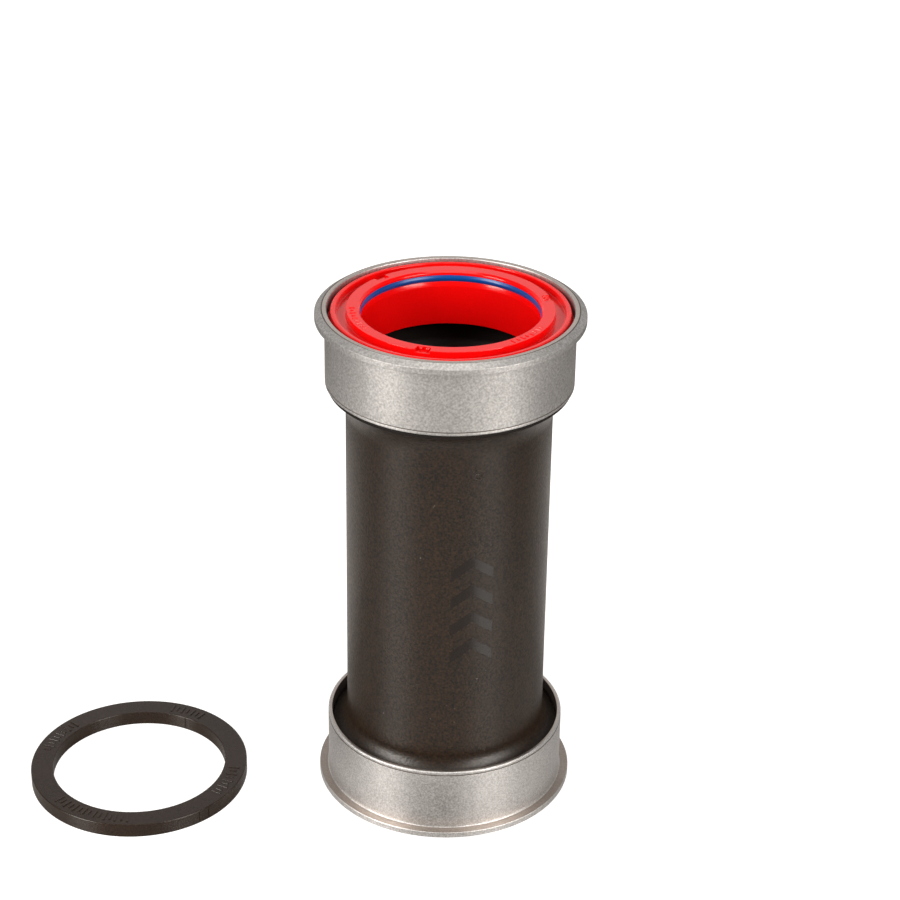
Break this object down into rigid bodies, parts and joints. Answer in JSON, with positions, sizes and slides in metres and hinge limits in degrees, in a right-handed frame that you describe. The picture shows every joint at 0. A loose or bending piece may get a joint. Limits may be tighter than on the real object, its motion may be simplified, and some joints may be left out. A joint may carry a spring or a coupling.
{
  "type": "bottom bracket",
  "caption": "Press-fit bicycle bottom bracket: flanged cups with sealed ball bearings and turning shields, joined by a telescoping tube, with a loose spindle spacer.",
  "frame": {"origin": "on the spindle axis, halfway between the two flanges", "axes": "+Z along the spindle axis towards the upper cup; the loose spacer lies on the -X side"},
  "size_m": [0.0951, 0.0445, 0.09],
  "materials": {
    "cup_aluminium": "satin turned, silver anodised",
    "bearing_steel": "ground and polished",
    "ball_steel": "mirror polished",
    "cage_nylon": "moulded nylon",
    "bearing_rubber": "moulded rubber",
    "shield_plastic": "moulded, satin red",
    "seal_rubber": "moulded, blue",
    "tube_nylon": "moulded, satin dark brown",
    "o_ring_rubber": "smooth black",
    "spacer_plastic": "moulded, satin dark brown"
  },
  "bodies": {
    "lower_cup_assembly": {"lower_cup": "cup_aluminium", "lower_outer_race": "bearing_steel", "lower_outboard_bearing_seal": "bearing_rubber", "lower_inboard_bearing_seal": "bearing_rubber"},
    "lower_ball_set": {"lower_balls": "ball_steel", "lower_ball_cage": "cage_nylon"},
    "lower_rotating_shield": {"lower_shield": "shield_plastic", "lower_spindle_seal": "seal_rubber", "lower_inner_race": "bearing_steel"},
    "tube_assembly": {"centre_tube": "tube_nylon", "upper_tube_o_ring": "o_ring_rubber", "lower_tube_o_ring": "o_ring_rubber"},
    "upper_cup_assembly": {"upper_cup": "cup_aluminium", "upper_outer_race": "bearing_steel", "upper_outboard_bearing_seal": "bearing_rubber", "upper_inboard_bearing_seal": "bearing_rubber"},
    "upper_ball_set": {"upper_balls": "ball_steel", "upper_ball_cage": "cage_nylon"},
    "upper_rotating_shield": {"upper_shield": "shield_plastic", "upper_spindle_seal": "seal_rubber", "upper_inner_race": "bearing_steel"},
    "loose_spacer": {"spacer_ring": "spacer_plastic"}
  },
  "joints": [
    {"name": "lower_spindle_spin", "type": "hinge", "parent": "lower_cup_assembly", "child": "lower_rotating_shield", "pos_m": [0, 0, 0], "axis": [0, 0, 1], "continuous": true},
    {"name": "lower_ball_orbit", "type": "hinge", "parent": "lower_cup_assembly", "child": "lower_ball_set", "pos_m": [0, 0, 0], "axis": [0, 0, 1], "continuous": true},
    {"name": "tube_telescope", "type": "slide", "parent": "lower_cup_assembly", "child": "tube_assembly", "axis": [0, 0, 1], "range_m": [0, 0.003]},
    {"name": "upper_cup_pull_off", "type": "slide", "parent": "tube_assembly", "child": "upper_cup_assembly", "axis": [0, 0, 1], "range_m": [0, 0.008]},
    {"name": "upper_spindle_spin", "type": "hinge", "parent": "upper_cup_assembly", "child": "upper_rotating_shield", "pos_m": [0, 0, 0], "axis": [0, 0, 1], "continuous": true},
    {"name": "upper_ball_orbit", "type": "hinge", "parent": "upper_cup_assembly", "child": "upper_ball_set", "pos_m": [0, 0, 0], "axis": [0, 0, 1], "continuous": true},
    {"name": "spacer_lift", "type": "slide", "parent": "lower_cup_assembly", "child": "loose_spacer", "axis": [0, 0, 1], "range_m": [0, 0.02]}
  ],
  "couplings": [
    {"joint": "lower_ball_orbit", "follows": "lower_spindle_spin", "ratio": 0.45915},
    {"joint": "upper_ball_orbit", "follows": "upper_spindle_spin", "ratio": 0.45915}
  ]
}
